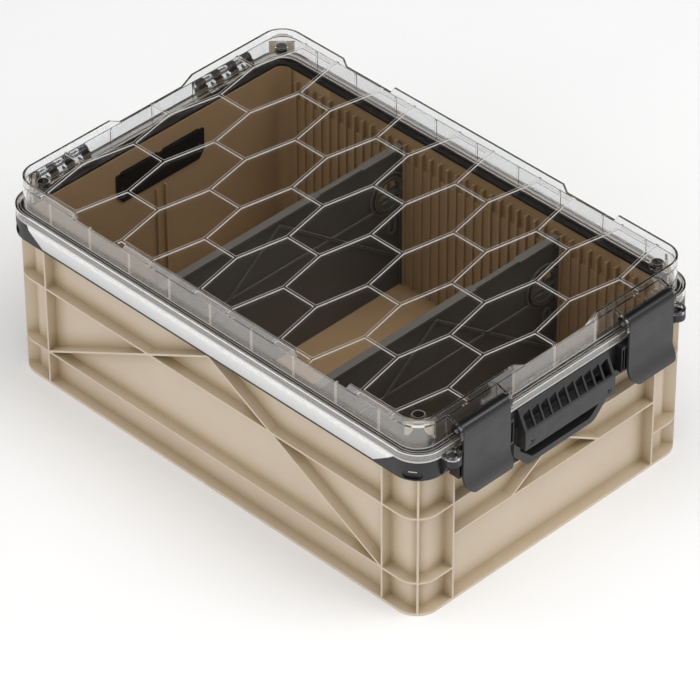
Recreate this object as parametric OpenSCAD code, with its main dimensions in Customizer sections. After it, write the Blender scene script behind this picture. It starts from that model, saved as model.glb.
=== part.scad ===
// Lidded storage crate: ribbed tub, black rim frame, clear hinged lid, two latches, two lift-out dividers.
// Millimetres. X is the width, Y the length, Z up. The origin is the centre of the bottom face.
// The latch end is at -Y and the hinge end at +Y.

/* [Tub] */
// Length over the outer ribs, along Y
crate_l = 600; // [520:5:700]
// Width over the outer ribs, along X
crate_w = 400; // [380:5:460]
// Height of the shelf that the rim frame stands on
shelf_z = 192; // [182:1:230]
// Thickness of the side walls
wall = 2.5; // [2:0.1:3.5]
// Thickness of the floor
floor_t = 5; // [3:0.5:8]
// How far the rim steps out from the walls
rim_step = 3; // [2:0.25:4]
// How far the outer ribs stand out from the wall panels
rib_h = 13; // [10:0.5:16]
// Thickness of the outer ribs
rib_t = 2.3; // [2:0.1:3.5]
// Corner radius over the outer ribs
corner_r = 27; // [22:0.5:32]
// Thickness of the flange round the base
base_h = 3; // [2:0.5:8]
// Height of the low rib
rib_low_z = 43; // [35:1:55]
// Height of the rib of the short sides that bends into a peak
rib_mid_z = 86; // [75:1:100]
// Height of the high rib
rib_high_z = 127; // [118:1:132]
// Distance from each corner to its upright ribs
pillar = 51; // [40:1:60]
// Half the width of the peak in the short sides' rib
peak_half = 65; // [50:1:90]
// Height at which the slanted ribs of the long sides meet
rib_apex_z = 175; // [150:1:176]

/* [Divider slots] */
// Spacing of the slots along the long walls
slot_pitch = 12.75; // [11:0.25:16]
// Thickness of the ribs between the slots
slot_rib_t = 2.6; // [1.5:0.1:3]
// How far the slot ribs stand out from the wall
slot_rib_h = 3; // [2:0.25:6]
// Height of the ledge between the slot ribs, below the rim
ledge_drop = 35.5; // [28:0.5:50]
// Height of the slot ribs' top ends, below the rim
slot_drop = 12.5; // [10:0.5:20]

/* [Rim frame] */
// How far the frame stands out from the ribs
frame_out = 5; // [4.6:0.1:6]
// Height of the frame's outer step above the shelf
frame_rise = 11.5; // [10:0.5:14]
// How far the frame's skirt hangs down below the shelf
skirt_drop = 11; // [8.5:0.5:14]
// Thickness of the frame's skirt
skirt_t = 3.8; // [3.5:0.1:4.2]
// Thickness of the frame's top plate
frame_t = 3.5; // [3:0.1:4.5]
// Height of the collar that carries the gasket, above the frame's outer step
collar_h = 6; // [4:0.5:6.5]
// Width of the collar
collar_w = 7.7; // [7:0.1:8]
// Thickness of the frame's inner lip, which covers the tub's rim
rim_lip_t = 3.2; // [2:0.1:4]
// Width of the oval window in each corner
window_w = 21; // [16:0.5:24]
// Height of the oval window in each corner
window_h = 10; // [7:0.5:10.5]
// Angle from the middle of each corner to its window, in degrees
window_turn = 11; // [0:1:16]

/* [Side rails] */
// Length of the rail along its bottom edge
rail_l = 486; // [300:1:488]
// How much further each end of the rail reaches along its top edge
rail_rake = 27; // [5:1:28]
// Height of the rail
rail_h = 18.3; // [12:0.1:18.5]
// Height of the rail's slanted upper face
rail_slant = 4.2; // [2:0.1:6]
// Thickness of the rail
rail_t = 3.4; // [3:0.1:3.8]
// Distance from the frame's top down to the rail's top edge
rail_down = 0.5; // [0.3:0.1:1]

/* [Gasket] */
// Width of the gasket
gasket_w = 4.6; // [3.5:0.1:5]
// Height of the gasket
gasket_h = 3.2; // [2.5:0.1:4]
// Depth of the gasket's groove
gasket_bed = 1.6; // [1:0.1:2]

/* [Lid] */
// Thickness of the lid's walls
lid_wall = 2.6; // [2:0.1:3.2]
// Thickness of the lid's top plate
lid_plate = 2.5; // [2:0.1:3.5]
// Width of the step from the flange's face to the lid's long walls
flange_step_x = 8; // [7:0.25:8.5]
// Width of the step from the flange's face to the lid's short walls
flange_step_y = 9; // [8:0.25:9.5]
// Height of the lid's top plate above the frame
lid_rise = 38; // [34:1:60]
// Height of the lips above the top plate
lip_h = 8.5; // [5:0.5:12]
// Distance from the middle at which the long sides' middle lip ends
lip_long_0 = 128.4; // [110:0.2:150]
// Distance from the middle at which the long sides' end lips start
lip_long_1 = 195.6; // [175:0.2:225]
// Half the width of the gap between the short sides' lips
lip_short = 45; // [30:0.5:60]
// Spacing of the honeycomb's columns along X
hex_x = 62.5; // [50:0.5:80]
// Spacing of the honeycomb's cells along Y
hex_y = 116; // [90:1:140]
// Length of the honeycomb's edges along Y
hex_edge = 46; // [36:1:56]
// Width of the honeycomb ribs
hex_rib = 3; // [2:0.1:4]
// Height of the honeycomb ribs above the top plate
hex_rise = 1.4; // [0.6:0.1:2]
// Spacing of the upright ribs on the lid's long walls
lid_rib_pitch = 60; // [45:1:75]
// Radius of the hole in each corner boss of the lid
boss_hole_r = 6; // [4:0.25:6.5]
// Radius of the corner bosses
boss_r = 7.6; // [7.4:0.1:8.4]
// Depth of the corner bosses
boss_h = 9; // [6:0.5:14]
// How far outside the corners' centres the bosses stand
boss_out = 1; // [0:0.5:2]
// Width of the bracket between each corner boss and the lid's corner
bracket_w = 28; // [20:1:32]
// Depth of that bracket
bracket_h = 17; // [12:0.5:22]

/* [Latches] */
// Width of each latch
latch_w = 66.6; // [50:0.2:70]
// Distance from the middle of the crate to the middle of each latch
latch_x = 120.4; // [112:0.2:124]
// Radius of the rolled top of the latch
latch_roll_r = 8; // [6.5:0.1:9]
// Height of the latch pin above the frame's top
latch_pin_z = 25.5; // [23:0.5:27]
// Distance from the frame's face to the latch pin
latch_pin_y = 4; // [3.5:0.25:6]
// Radius of the latch pins
latch_pin_r = 2; // [1.5:0.1:2.5]
// Thickness of the latch plate
latch_t = 2.6; // [2:0.1:3.2]
// Depth of the hook under its keeper
hook_d = 2.6; // [1.5:0.1:3]
// Radius of the latch's outward sweep
flare_r = 23.5; // [14:0.5:25]
// Steepest angle of the sweep
flare_a = 56; // [30:1:60]
// Radius of the latch's lower corners
latch_corner_r = 10; // [7:0.5:16]
// Thickness of the lid's ears beside each latch
ear_t = 2.8; // [2:0.1:3.4]
// How far the keeper behind each latch reaches past the latch, on the handle's side
keeper_in = 7.7; // [6:0.1:9]
// Distance from the frame's bottom edge down to the keepers' bottom edge
keeper_drop = 9; // [6:0.5:10]

/* [Padlock eyes] */
// Distance from the latch's side to the middle of the eye
eye_x = 10.7; // [10.6:0.1:12]
// Distance from the frame's face to the middle of the eye
eye_y = 6.6; // [6.6:0.1:8]
// Radius of the hole in the eye
eye_hole_r = 6.2; // [3:0.1:6.4]
// Thickness of the wall round the eye's hole
eye_wall = 3.2; // [2:0.1:3.4]
// Thickness of the lid's padlock eyes
lid_eye_t = 3.5; // [2:0.1:5]

/* [Hinges] */
// Distance from the frame's face to the hinge axis
hinge_y = 8.5; // [8:0.25:10]
// Height of the hinge axis above the frame's top
hinge_z = 11; // [10:0.25:12]
// Radius of the hinge knuckles
knuckle_r = 5.5; // [4.5:0.1:6]
// Radius of the hinge pins
hinge_pin_r = 2; // [1.5:0.1:2.5]
// Width of the hinge, over its seven knuckles
hinge_w = 80; // [60:1:84]

/* [Handles] */
// Half the width of the handle housing
handle_half = 66; // [60:0.5:70]
// Distance from the frame's face to the handle's front
handle_out = 13.5; // [12:0.5:16]
// Distance of the handle's top shelf below the frame's top
shelf_down = 0.5; // [0:0.5:3]
// Depth of the flat edge along the handle's top
handle_flat = 1.5; // [1:0.25:3]
// Height of the crease below the sloped grille, down from the frame's top
handle_crease = 24.8; // [22:0.2:28]
// Height of the housing's bottom edge, down from the frame's top
handle_drop = 47; // [44:0.5:50]
// Height of the grip bar's underside, down from the frame's top
grip_drop = 81; // [80:0.5:84]
// Thickness of the handle's walls
handle_t = 3; // [2.4:0.1:3.4]
// Height of the grip bar
grip_t = 7.2; // [6:0.1:9]
// Number of slots in the grille
grille_slots = 10; // [6:1:12]
// Thickness of the fins between the slots
grille_fin = 2.1; // [1.5:0.1:4]
// Distance from the handle's side to each handle screw
screw_in = 9.5; // [9:0.25:14]
// Distance from the middle to the end of the grip plate's wings
wing_half = 95; // [76:1:110]
// Height of the handle screws, down from the frame's top
screw_drop = 39; // [37:0.5:41]
// Radius of the screws' shanks
screw_r = 1.9; // [1.5:0.1:2.4]
// Radius of the screws' heads
screw_head_r = 3.6; // [3:0.1:4]

/* [Dividers] */
// Slot of the front divider, counted from the middle
front_slot = -10; // [-13:1:-5]
// Slot of the rear divider, counted from the middle
rear_slot = 8; // [5:1:13]
// Gap between a divider and the slot or wall beside it
divider_gap = 0.3; // [0.2:0.05:0.6]
// Height of the dividers' top edge below the rim
divider_drop = 14.5; // [13:0.5:24]
// Thickness of the dividers' web
web_t = 3; // [2:0.1:4]
// Width of the dividers' top edge where it narrows
edge_narrow = 6; // [5:0.1:8]
// Start of the narrow stretch, from the middle
narrow_x0 = 57; // [20:1:80]
// End of the narrow stretch, from the middle
narrow_x1 = 122; // [100:1:140]
// Radius of the finger hole
ring_hole_r = 17.5; // [12:0.5:18]
// Thickness of the ring round the finger hole
ring_wall = 4.5; // [3:0.25:5]
// Distance from the middle to the finger hole
ring_x = 162; // [120:1:162]
// Height of the finger hole below the divider's top edge
ring_drop = 54; // [40:1:70]
// Distance from the divider's top edge down to the point where its slanted ribs meet
v_drop = 11; // [8:1:40]
// Radius of the small raised loop below the finger hole
loop_r = 6; // [4:0.5:8]

/* [Hidden] */

// Curve resolution of the exact round faces
round_fn = 48;
// Small extra depth of a cut past the face that it opens
cut = 0.5;
// Gap between two pieces that only face each other
gap = 0.3;
// Radial clearance of a pin that turns
run_gap = 0.06;

panel_w = crate_w - 2 * rib_h;
panel_l = crate_l - 2 * rib_h;
inner_w = panel_w - 2 * wall;
inner_l = panel_l - 2 * wall;
panel_r = corner_r - rib_h;
inner_r = panel_r - wall;
rim_w = panel_w + 2 * rim_step;
rim_l = panel_l + 2 * rim_step;
rim_r = panel_r + rim_step;
// Depth of the thicker band at the top of the short walls
rim_band_h = 9;
// Half the length of the long walls' straight part, outside at the rim
rim_run = rim_l / 2 - rim_r;

frame_base = shelf_z - skirt_drop;
frame_top = shelf_z + frame_rise;
frame_w = crate_w + 2 * frame_out;
frame_l = crate_l + 2 * frame_out;
frame_r = corner_r + frame_out;
frame_face = frame_l / 2;
frame_hole_w = rim_w + 2 * gap;
frame_hole_l = rim_l + 2 * gap;
frame_hole_r = rim_r + gap;
collar_top = frame_top + collar_h;
tub_top = collar_top - rim_lip_t - gap;
ledge_z = tub_top - ledge_drop;
comb_top = tub_top - slot_drop;
// Number of slot ribs on each side of the middle that the straight walls have room for
slot_ribs = floor((rim_run - wall - slot_rib_t) / slot_pitch + 0.5);
// Height of the corner windows' middle
window_z = frame_base + 1.7 + window_h / 2;
// Width and thickness of the lug in each window
lug_w = 8.5;
lug_t = 1.8;
// Depth of the windows at their middle
window_depth = 2.8;

gasket_in = (collar_w - gasket_w) / 2;
gasket_outer_w = frame_hole_w + 2 * (collar_w - gasket_in);
gasket_outer_l = frame_hole_l + 2 * (collar_w - gasket_in);
gasket_outer_r = frame_hole_r + collar_w - gasket_in;
gasket_z = collar_top - gasket_bed;

rail_face = frame_w / 2 + 1;
rail_back = rail_face - rail_t;
rail_z1 = frame_top - rail_down;
rail_z0 = rail_z1 - rail_h;

lid_w = frame_w - 2 * flange_step_x;
lid_l = frame_l - 2 * flange_step_y;
// The lid's corners are a little rounder than an even step would make them
lid_r = frame_r - (flange_step_x + flange_step_y) / 2 + 2;
lid_z = frame_top + gap;
flange_top = gasket_z + gasket_h + gap + lid_wall;
plate_top = frame_top + lid_rise;
lip_top = plate_top + lip_h;
// Run of the slanted ends of the long sides' lips and of the short sides' lips
lip_ramp_y = 5.5;
lip_ramp_x = 16;
boss_x = crate_w / 2 - corner_r + boss_out;
boss_y = crate_l / 2 - corner_r + boss_out;
upright_t = 2.4;
bracket_t = 2;
// Distance from each boss to its bracket, and the width of the bracket's legs
bracket_out = 10;
bracket_leg = 4;

latch_axis_y = -(frame_face + latch_pin_y);
latch_axis_z = frame_top + latch_pin_z;
latch_front = latch_axis_y - latch_roll_r;
latch_back = latch_front + latch_t;
keeper_base = frame_base - keeper_drop;
// Height at which the latch starts to sweep outward
latch_bend_z = keeper_base + 4;
latch_half = latch_w / 2;
keeper_front = latch_back + gap;
// Underside of the keeper's lip, which the hook catches
keeper_z = frame_top - 15;
// How much narrower the hook is than the latch, on each side
hook_in = 12;
hook_half = latch_half - hook_in;
hook_gap = 0.5;
ear_gap = 0.4;

eye_mid_x = latch_x + latch_half + eye_x;
eye_mid_y = -(frame_face + eye_y);
eye_r = eye_hole_r + eye_wall;
// Height of the frame's padlock eyes
eye_h = 8;
eye_rib_z = frame_base + 2;
// The keeper ends just short of the eye's hole
keeper_x0 = latch_x - latch_half - keeper_in;
keeper_x1 = eye_mid_x - eye_hole_r - 0.6;

hinge_axis_y = frame_face + hinge_y;
hinge_axis_z = frame_top + hinge_z;
knuckle_gap = 0.4;
knuckle_w = (hinge_w - 6 * knuckle_gap) / 7;

handle_front_y = -(frame_face + handle_out);
handle_back_y = -(frame_face + gap);
screw_x = handle_half - screw_in;
crease_z = frame_top - handle_crease;
shelf_top_z = frame_top - shelf_down;
housing_z = frame_top - handle_drop;
grip_z = frame_top - grip_drop;
grip_in_z = grip_z + grip_t;
screw_z = frame_top - screw_drop;
// The grip plate stands just outside the tub's ribs
grip_y1 = -(crate_l / 2 + gap);
grip_y0 = -(frame_face + 1.5);
// How much narrower the hand's opening is at its bottom, on each side
hole_lean = 18.5;
// Half widths of the hand's opening at its top and bottom, and the height where its sides slant in
hole_half = handle_half - 5;
hole_low_half = hole_half - hole_lean;
hole_side_z = grip_in_z + 17;
// Half widths of the grip plate at its top and bottom
grip_half = handle_half + 4;
grip_low_half = handle_half - 17;
wall_y = -panel_l / 2;
inner_y = -inner_l / 2;
// Thickness of the tray behind the grip, and its height
tray_t = 1.6;
tray_h = 20;
// Lower and upper edges of the hole in the tub's wall
wall_hole_z0 = grip_in_z + tray_h;
wall_hole_z1 = shelf_z - rib_t - 11;
// Radius of the grip's lower corners
grip_r = 14;
// How much higher each grille slot is at its right end
grille_tilt = 2.5;
// Lower edge of the grip plate's wings
wing_z = housing_z + 6.5;
screw_boss_r = 5.5;
// Thickness of the liner's plate, and how far it laps over the wall
liner_t = 2.5;
liner_lip = 4;

divider_top = tub_top - divider_drop;
divider_half = inner_w / 2 - divider_gap;
divider_edge = slot_pitch - slot_rib_t - 2 * divider_gap;
// Thickness of the dividers' edge flanges
edge_t = 3;
divider_z = floor_t + divider_gap;
ring_z = divider_top - ring_drop;
ring_r = ring_hole_r + ring_wall;
// Middle of the grip bar across the finger hole, and its radius
ring_bar_z = ring_z - 3;
ring_bar_r = divider_edge / 2 - 0.1;

// A rectangle with rounded corners, centred
module rounded(w, l, r) {
  square([w - 2 * r, l], center = true);
  square([w, l - 2 * r], center = true);
  for (sx = [-1, 1], sy = [-1, 1])
    translate([sx * (w / 2 - r), sy * (l / 2 - r)])
      circle(r = r, $fn = round_fn);
}

// A flat ring inside a rounded rectangle, t wide
module ring2d(w, l, r, t) {
  difference() {
    rounded(w, l, r);
    rounded(w - 2 * t, l - 2 * t, max(r - t, 1));
  }
}

module ring(w, l, r, t, z, h) {
  translate([0, 0, z])
    linear_extrude(h)
      ring2d(w, l, r, t);
}

// A straight bar between two points of a plane
module bar2d(p, q, t) {
  run = q - p;
  translate(p)
    rotate(atan2(run[1], run[0]))
      translate([0, -t / 2])
        square([norm(run), t]);
}

// Turns a profile drawn as (y, z) so that it runs along X, centred on x
module along_x(x, w) {
  translate([x - w / 2, 0, 0])
    rotate([90, 0, 90])
      linear_extrude(w)
        children();
}

// Turns a profile drawn as (x, z) so that it runs along Y from y to y + t
module along_y(y, t) {
  translate([0, y + t, 0])
    rotate([90, 0, 0])
      linear_extrude(t)
        children();
}

// A round bar or bore along X, centred
module bar_x(x, y, z, r, w) {
  translate([x, y, z])
    rotate([0, 90, 0])
      cylinder(r = r, h = w, center = true, $fn = round_fn);
}

module both_ends() {
  children();
  rotate([0, 0, 180])
    children();
}

// The plan of the upright outer ribs
module upright_ribs2d() {
  intersection() {
    rounded(crate_w, crate_l, corner_r);
    union() {
      for (s = [-1, 1]) {
        translate([0, s * (crate_l / 2 - pillar)])
          square([crate_w, rib_t], center = true);
        translate([s * (crate_w / 2 - pillar), 0])
          square([rib_t, crate_l], center = true);
        for (t = [-1, 1])
          translate([s * (crate_w / 2 - corner_r), t * (crate_l / 2 - corner_r)])
            rotate(s * t * 45)
              square([3 * corner_r, rib_t], center = true);
      }
    }
  }
}

// The row of slot ribs on one long wall, drawn as one comb
module slot_comb2d() {
  root = rim_w / 2 - wall / 2;
  tip = inner_w / 2 - slot_rib_h;
  base = rim_w / 2 - wall - 0.01;
  half = slot_rib_t / 2;
  steps = [for (k = [-slot_ribs : slot_ribs - 1]) (k + 0.5) * slot_pitch];
  polygon(concat(
    [[root, steps[0] - slot_rib_t]],
    [for (y = steps) each [[base, y - half], [tip, y - half], [tip, y + half], [base, y + half]]],
    [[root, steps[len(steps) - 1] + slot_rib_t]]));
}

// The opening for the hand in a short wall, drawn as (x, z)
module wall_hole2d(grow) {
  side = hole_half - 1 + grow;
  top = wall_hole_z1 + grow;
  low = wall_hole_z0 - grow;
  polygon([[-side, top], [side, top], [side, low + 10], [side - 8, low], [8 - side, low], [-side, low + 10]]);
}

// Points of an arc about c, from angle a to angle b
function arc(c, r, a, b) = [for (i = [0 : 4]) c + r * [cos(a + (b - a) * i / 4), sin(a + (b - a) * i / 4)]];

// Ribs of one long side, drawn as (y, z)
module long_side_ribs2d() {
  foot = crate_l / 2 - pillar;
  translate([-foot, rib_low_z - rib_t / 2])
    square([2 * foot, rib_t]);
  for (s = [-1, 1])
    bar2d([s * foot, rib_low_z], [0, rib_apex_z], rib_t);
}

// Ribs of one short side, drawn as (x, z)
module short_side_ribs2d() {
  foot = crate_w / 2 - pillar;
  translate([-foot, rib_mid_z - rib_t / 2])
    square([2 * foot, rib_t]);
  for (s = [-1, 1])
    bar2d([s * peak_half, rib_mid_z], [0, rib_high_z], rib_t);
}

module corner_pillar_rib(z) {
  difference() {
    ring(crate_w, crate_l, corner_r, rib_h + wall / 2, z - rib_t / 2, rib_t);
    for (turn = [0, 90])
      rotate(turn)
        translate([0, 0, z])
          cube([(turn == 0 ? crate_w : crate_l) - 2 * pillar, 2 * crate_l, 2 * rib_t], center = true);
  }
}

// Moves and turns a child to each corner's window, with X pointing outward from the corner's centre
module at_windows(z) {
  for (sx = [-1, 1], sy = [-1, 1])
    translate([sx * (crate_w / 2 - corner_r), sy * (crate_l / 2 - corner_r), z])
      rotate(atan2(sy * sin(45 - window_turn), sx * cos(45 - window_turn)))
        children();
}

// The shelf under the rim frame, with a notch and a snap lug behind each window
module shelf() {
  reach = corner_r + frame_out - 1.5;
  difference() {
    ring(crate_w, crate_l, corner_r, rib_h + wall / 2, shelf_z - rib_t, rib_t);
    at_windows(shelf_z - rib_t - cut)
      translate([corner_r - 5, -window_w / 2 - 1, 0])
        cube([2 * frame_out, window_w + 2, rib_t + 2 * cut]);
  }
  at_windows(shelf_z - lug_t)
    translate([panel_r - wall / 2, -lug_w / 2, 0])
      cube([reach - panel_r + wall / 2, lug_w, lug_t]);
}

// The space inside the tub, wider behind the upper ends of the slot ribs and at the rim
module tub_space() {
  recess_w = rim_w - 2 * wall;
  translate([0, 0, floor_t])
    linear_extrude(tub_top)
      rounded(inner_w, inner_l, inner_r);
  translate([-recess_w / 2, wall - rim_run, ledge_z])
    cube([recess_w, 2 * (rim_run - wall), tub_top]);
}

module crate_tub() {
  flare_z = ledge_z - wall;
  color([0.76, 0.69, 0.58])
  difference() {
    union() {
      linear_extrude(tub_top)
        rounded(panel_w, panel_l, panel_r);
      translate([-rim_w / 2, -rim_run, flare_z])
        cube([rim_w, 2 * rim_run, tub_top - flare_z]);
      translate([0, 0, tub_top - rim_band_h])
        linear_extrude(rim_band_h)
          rounded(rim_w, rim_l, rim_r);
      linear_extrude(shelf_z)
        upright_ribs2d();
      ring(crate_w, crate_l, corner_r, rib_h + wall / 2, 0, base_h);
      ring(crate_w, crate_l, corner_r, rib_h + wall / 2, rib_high_z - rib_t / 2, rib_t);
      corner_pillar_rib(rib_low_z);
      both_ends() {
        along_x(crate_w / 2 - rib_h / 2, rib_h)
          long_side_ribs2d();
        along_y(-crate_l / 2, rib_h)
          short_side_ribs2d();
      }
      shelf();
    }
    difference() {
      tub_space();
      both_ends() {
        linear_extrude(comb_top)
          slot_comb2d();
        for (s = [-1, 1])
          translate([s * slot_pitch / 2 - slot_rib_t / 2, inner_y - cut, 0])
            cube([slot_rib_t, slot_rib_h + cut, wall_hole_z0 - 12]);
      }
    }
    both_ends()
      along_y(-crate_l / 2 - cut, crate_l / 2 + inner_y + 2 * cut)
        wall_hole2d(0);
  }
}

// Plan of the frame, drawn in by a distance
module frame_plan2d(inset) {
  rounded(frame_w - 2 * inset, frame_l - 2 * inset, frame_r - inset);
}

module frame_hole2d(grow) {
  rounded(frame_hole_w + 2 * grow, frame_hole_l + 2 * grow, frame_hole_r + grow);
}

// Outline of a side rail with its raked ends, drawn as (y, z)
module rail_outline2d(grow, top) {
  rake = rail_rake / rail_h * (top - rail_z0);
  z0 = rail_z0 - grow;
  end = rail_l / 2 + grow;
  polygon([[-end, z0], [end, z0], [end + rake, top + grow], [-end - rake, top + grow]]);
}

// The block behind each latch that its hook catches, with fins where it shows beside the latch
module keeper(side) {
  reach = -keeper_front - frame_face + skirt_t;
  fin = keeper_in / 2;
  mirror([side < 0 ? 1 : 0, 0, 0])
    difference() {
      translate([keeper_x0, keeper_front, keeper_base])
        cube([keeper_x1 - keeper_x0, reach, frame_top - keeper_base]);
      translate([latch_x - hook_half - 1.5, keeper_front - cut, keeper_base - cut])
        cube([2 * hook_half + 3, hook_d + 1.4 + cut, keeper_z - keeper_base + cut]);
      for (x = [keeper_x0 + 1, keeper_x0 + 1 + fin, keeper_x1 - 1 - (fin - 1.2)])
        translate([x, keeper_front - cut, keeper_base + 3])
          cube([fin - 1.2, 6.5, frame_top - keeper_base - 6]);
    }
}

// A padlock eye seen from above, with the web that joins it to the rim
module eye_tab2d() {
  difference() {
    union() {
      circle(r = eye_r, $fn = round_fn);
      translate([-eye_r, 0])
        square([2 * eye_r, eye_y + 1]);
    }
    circle(r = eye_hole_r, $fn = round_fn);
  }
}

// The holes of both pairs of padlock eyes
module eye_holes() {
  for (s = [-1, 1])
    translate([s * eye_mid_x, eye_mid_y, keeper_base - cut])
      cylinder(r = eye_hole_r, h = flange_top - keeper_base, $fn = round_fn);
}

module frame_eye(side) {
  translate([side * eye_mid_x, eye_mid_y, frame_top - eye_h])
    linear_extrude(eye_h)
      eye_tab2d();
  // Web under the eye
  along_x(side * (eye_mid_x + eye_r - 1.5), 3)
    polygon([[-frame_face + 1, frame_top - eye_h + 1], [eye_mid_y - 2, frame_top - eye_h + 1],
      [-frame_face - 2, eye_rib_z], [-frame_face + 1, eye_rib_z]]);
}

// The four knuckles that the frame gives to a hinge, each on a web that tapers down to the frame
module frame_knuckles(side) {
  for (k = [-3, -1, 1, 3]) {
    x = side * latch_x + k * (knuckle_w + knuckle_gap);
    difference() {
      union() {
        bar_x(x, hinge_axis_y, hinge_axis_z, knuckle_r, knuckle_w);
        along_x(x, knuckle_w)
          polygon([[frame_face + cut, frame_top - 16], [hinge_axis_y + knuckle_r - 0.4, hinge_axis_z - 1.5],
            [hinge_axis_y, hinge_axis_z], [frame_face + cut, hinge_axis_z]]);
        translate([x - knuckle_w / 2, frame_face - 1, frame_top - 16])
          cube([knuckle_w, 2, 15.5]);
      }
      bar_x(x, hinge_axis_y, hinge_axis_z, hinge_pin_r, knuckle_w + 2);
    }
  }
}

module rim_frame() {
  color([0.13, 0.13, 0.135])
  difference() {
    union() {
      translate([0, 0, frame_base])
        linear_extrude(frame_top - frame_base)
          difference() {
            frame_plan2d(0);
            frame_hole2d(0);
          }
      translate([0, 0, frame_top - frame_t])
        linear_extrude(frame_t + collar_h)
          difference() {
            frame_hole2d(collar_w);
            frame_hole2d(0);
          }
      // Inner lip over the tub's rim
      translate([0, 0, collar_top - rim_lip_t])
        linear_extrude(rim_lip_t)
          difference() {
            frame_hole2d(1);
            rounded(inner_w + 1, inner_l + 1, inner_r + 0.5);
          }
      for (s = [-1, 1]) {
        keeper(s);
        frame_eye(s);
        frame_knuckles(s);
      }
    }
    eye_holes();
    // Hollow below the shelf, round the tub's ribs
    translate([0, 0, frame_base - cut])
      linear_extrude(skirt_drop + cut)
        frame_plan2d(skirt_t);
    // Hollow above the shelf, between the skirt and the inner wall
    translate([0, 0, shelf_z - cut])
      linear_extrude(frame_rise - frame_t + cut)
        difference() {
          frame_plan2d(skirt_t);
          frame_hole2d(frame_t);
        }
    translate([0, 0, gasket_z])
      linear_extrude(gasket_bed + cut)
        ring2d(gasket_outer_w, gasket_outer_l, gasket_outer_r, gasket_w);
    both_ends()
      along_x(rail_back - 0.1 + 5, 10)
        rail_outline2d(0.1, frame_top + cut);
    at_windows(window_z)
      translate([frame_r - window_depth, 0, 0])
        rotate([90, 0, 90])
          linear_extrude(3 * frame_out)
            window2d();
    // Slot in each window for the snap lug
    at_windows(shelf_z - lug_t - gap)
      translate([corner_r - 1, -lug_w / 2 - gap, 0])
        cube([3 * frame_out, lug_w + 2 * gap, lug_t + 2 * gap]);
  }
}

// Oval window, drawn flat
module window2d() {
  flat = window_w - window_h;
  square([flat, window_h], center = true);
  for (s = [-1, 1])
    translate([s * flat / 2, 0])
      circle(r = window_h / 2, $fn = round_fn);
}

// A side rail with a slanted upper face
module side_rail(side) {
  color([0.8, 0.81, 0.83])
  mirror([side < 0 ? 1 : 0, 0, 0])
  intersection() {
    along_x(rail_back + rail_t, 4 * rail_t)
      rail_outline2d(0, rail_z1);
    along_y(-crate_l, 2 * crate_l)
      polygon([[rail_back, rail_z0], [rail_face, rail_z0], [rail_face, rail_z1 - rail_slant],
        [rail_back + 0.6, rail_z1], [rail_back, rail_z1]]);
  }
}

module lid_gasket() {
  color([0.09, 0.09, 0.095])
    ring(gasket_outer_w, gasket_outer_l, gasket_outer_r, gasket_w, gasket_z, gasket_h);
}

// Honeycomb ribs, drawn flat
module honeycomb2d() {
  cols = ceil(lid_w / 2 / hex_x);
  rows = ceil(lid_l / 2 / hex_y);
  for (i = [-cols : cols], j = [-rows : rows]) {
    x = i * hex_x;
    y = (j + (i % 2 == 0 ? 0.5 : 0)) * hex_y;
    bar2d([x, y - hex_edge / 2], [x, y + hex_edge / 2], hex_rib);
    bar2d([x, y + hex_edge / 2], [x + hex_x, y + hex_y / 2 - hex_edge / 2], hex_rib);
    bar2d([x, y - hex_edge / 2], [x + hex_x, y - hex_y / 2 + hex_edge / 2], hex_rib);
  }
}

// A gap between two lips with slanted ends, drawn as (along, z)
module lip_gap2d(a, b, ramp) {
  polygon([[a, plate_top], [b, plate_top], [b + ramp, lip_top + cut], [a - ramp, lip_top + cut]]);
}

module lid_walls() {
  difference() {
    ring(lid_w, lid_l, lid_r, lid_wall, flange_top - lid_wall, lip_top - flange_top + lid_wall);
    for (s = [-1, 1])
      along_x(0, 2 * crate_w)
        lip_gap2d(s > 0 ? lip_long_0 : -lip_long_1, s > 0 ? lip_long_1 : -lip_long_0, lip_ramp_y);
    along_y(-crate_l, 2 * crate_l)
      lip_gap2d(-lip_short, lip_short, lip_ramp_x);
  }
}

// Ears of the lid beside a latch, drawn as (y, z)
module ear2d() {
  root_y = -lid_l / 2 + lid_wall / 2;
  outer = latch_front + 0.5;
  polygon([[root_y, plate_top], [-lid_l / 2, plate_top], [latch_axis_y - 5, latch_axis_z + 6],
    [outer, latch_axis_z + 2], [outer, latch_axis_z - 8], [-frame_face - 1, lid_z], [1 - frame_face, lid_z],
    [1 - frame_face, flange_top - 1], [root_y, flange_top - 1]]);
}

module lid_knuckles(side) {
  for (k = [-2, 0, 2]) {
    x = side * latch_x + k * (knuckle_w + knuckle_gap);
    bar_x(x, hinge_axis_y, hinge_axis_z, knuckle_r, knuckle_w);
    translate([x - knuckle_w / 2, frame_face - lid_wall, lid_z + 3])
      cube([knuckle_w, hinge_axis_y - frame_face + lid_wall, flange_top - lid_z - 3]);
  }
}

// The bracket in front of a corner boss, drawn as (across, z)
module bracket2d() {
  half = bracket_w / 2;
  low = plate_top - bracket_h;
  top = plate_top - bracket_leg;
  difference() {
    translate([-half, low])
      square([bracket_w, bracket_h - 1]);
    polygon([[bracket_leg - half, low - cut], [half - bracket_leg, low - cut],
      [half - 2.2 * bracket_leg, (low + top) / 2], [half - 2.2 * bracket_leg, top],
      [2.2 * bracket_leg - half, top], [2.2 * bracket_leg - half, (low + top) / 2]]);
  }
}

// One of the upright ribs inside the lid's walls
module lid_upright(x, y) {
  translate([x - upright_t / 2, y - upright_t / 2, flange_top - 1])
    cube([upright_t, upright_t, plate_top - flange_top]);
}

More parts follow.
